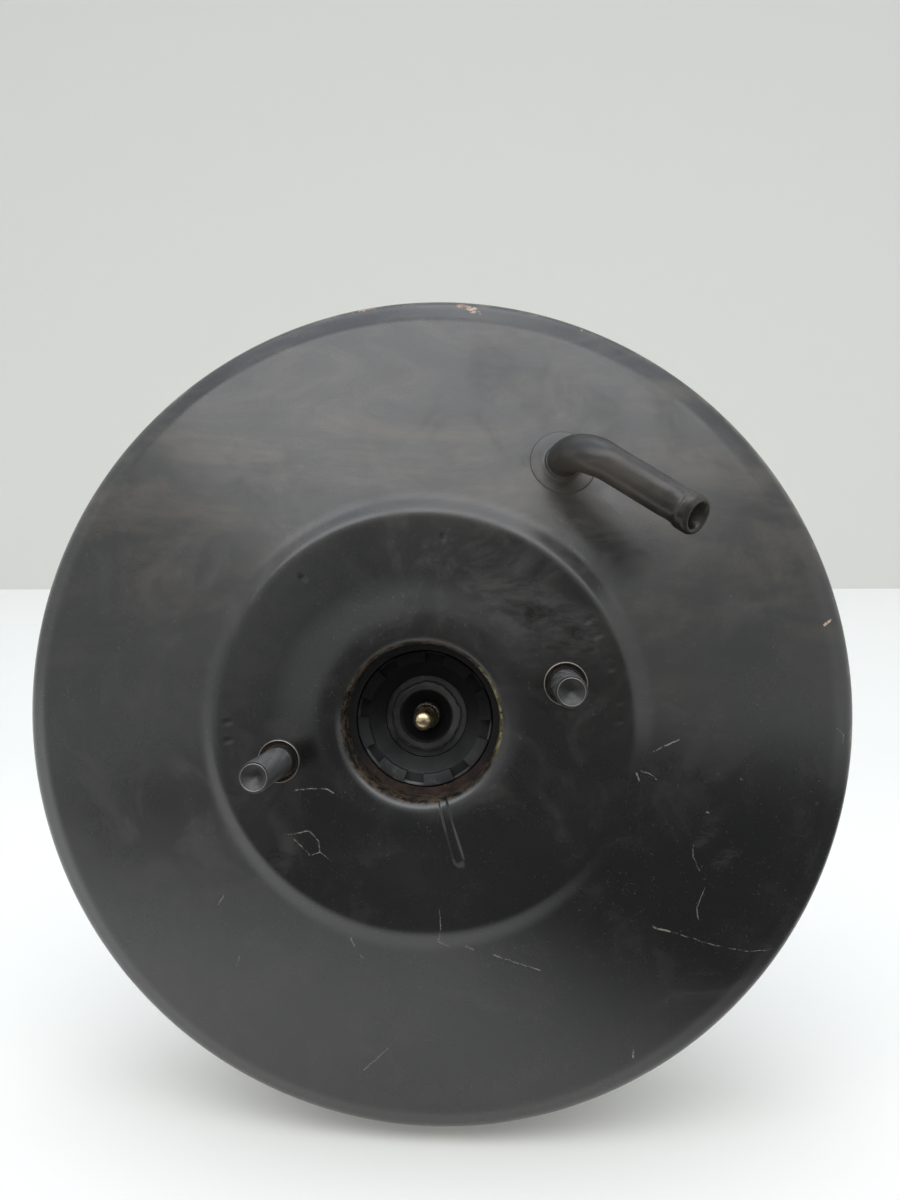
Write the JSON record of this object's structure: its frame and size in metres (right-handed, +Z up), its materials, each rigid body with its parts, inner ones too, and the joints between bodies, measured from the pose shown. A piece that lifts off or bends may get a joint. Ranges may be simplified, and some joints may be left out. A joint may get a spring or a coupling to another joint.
{
  "type": "vacuum brake booster",
  "caption": "Round vacuum brake booster with a dished steel shell, front and bulkhead studs, bent vacuum pipe, sliding power piston and clevis push rod.",
  "frame": {"origin": "centre of the bulkhead mounting face, on the booster's axis", "axes": "+Y along the booster's axis towards the pedal, -Y towards the master cylinder, +Z up; the booster is rolled 15.5 degrees about Y, so the line through its two front studs rises to +X"},
  "size_m": [0.253, 0.2662, 0.253],
  "materials": {
    "black_paint": "semi-gloss black paint, scuffed",
    "phosphated_steel": "dark phosphated steel",
    "bare_steel": "bright zinc plated steel",
    "yellow_zinc": "yellow zinc plated steel",
    "rusty_steel": "steel with light brown rust",
    "black_plastic": "matt moulded plastic",
    "phenolic": "dark brown moulded phenolic",
    "black_rubber": "matt black rubber",
    "spring_steel": "oiled spring steel",
    "felt": "grey felt",
    "foam": "black open foam",
    "gasket_paper": "dark gasket sheet"
  },
  "bodies": {
    "booster": {"front_shell": "black_paint", "front_plate": "rusty_steel", "cylinder_studs": "phosphated_steel", "pipe_flange": "black_paint", "vacuum_pipe": "black_paint", "seal_retainer": "black_plastic", "front_seal": "black_rubber", "rear_shell": "black_paint", "rear_plate": "phosphated_steel", "bulkhead_studs": "phosphated_steel", "bulkhead_gasket": "gasket_paper", "rear_bearing": "black_plastic", "rear_seal": "black_rubber", "diaphragm": "black_rubber", "return_spring": "spring_steel", "dust_boot": "black_rubber"},
    "power_piston": {"valve_body": "phenolic", "diaphragm_plate": "bare_steel", "input_spring": "spring_steel", "reaction_disc": "black_rubber", "output_rod": "bare_steel", "rod_tip": "yellow_zinc", "stop_key": "bare_steel", "poppet": "black_rubber", "poppet_washer": "bare_steel", "poppet_spring": "spring_steel", "poppet_cup": "bare_steel", "silencer": "foam", "air_filter": "felt", "filter_cap": "black_plastic"},
    "plunger": {"plunger": "bare_steel"},
    "input_rod": {"input_rod": "yellow_zinc", "spring_collar": "bare_steel", "lock_nut": "yellow_zinc", "clevis": "yellow_zinc"},
    "clevis_pin": {"clevis_pin": "bare_steel", "pin_clip": "spring_steel"}
  },
  "joints": [
    {"name": "piston_slide", "type": "slide", "parent": "booster", "child": "power_piston", "axis": [0, -1, 0], "range_m": [0, 0.03], "stiffness_N_per_m": 2000, "springref_m": -0.04, "deforming": ["return_spring", "diaphragm", "dust_boot"]},
    {"name": "plunger_slide", "type": "slide", "parent": "power_piston", "child": "plunger", "axis": [0, -1, 0], "range_m": [0, 0.0012], "stiffness_N_per_m": 3000, "springref_m": -0.006, "deforming": ["input_spring"]},
    {"name": "input_rod_tilt", "type": "hinge", "parent": "plunger", "child": "input_rod", "pos_m": [0, 0.002, 0], "axis": [0.9636, 0, 0.2672], "range_deg": [-2.5, 2.5], "stiffness_Nm_per_rad": 5, "deforming": ["input_spring"]},
    {"name": "clevis_pin_turn", "type": "hinge", "parent": "input_rod", "child": "clevis_pin", "pos_m": [0, 0.1327, 0], "axis": [0.9636, 0, 0.2672], "continuous": true}
  ]
}
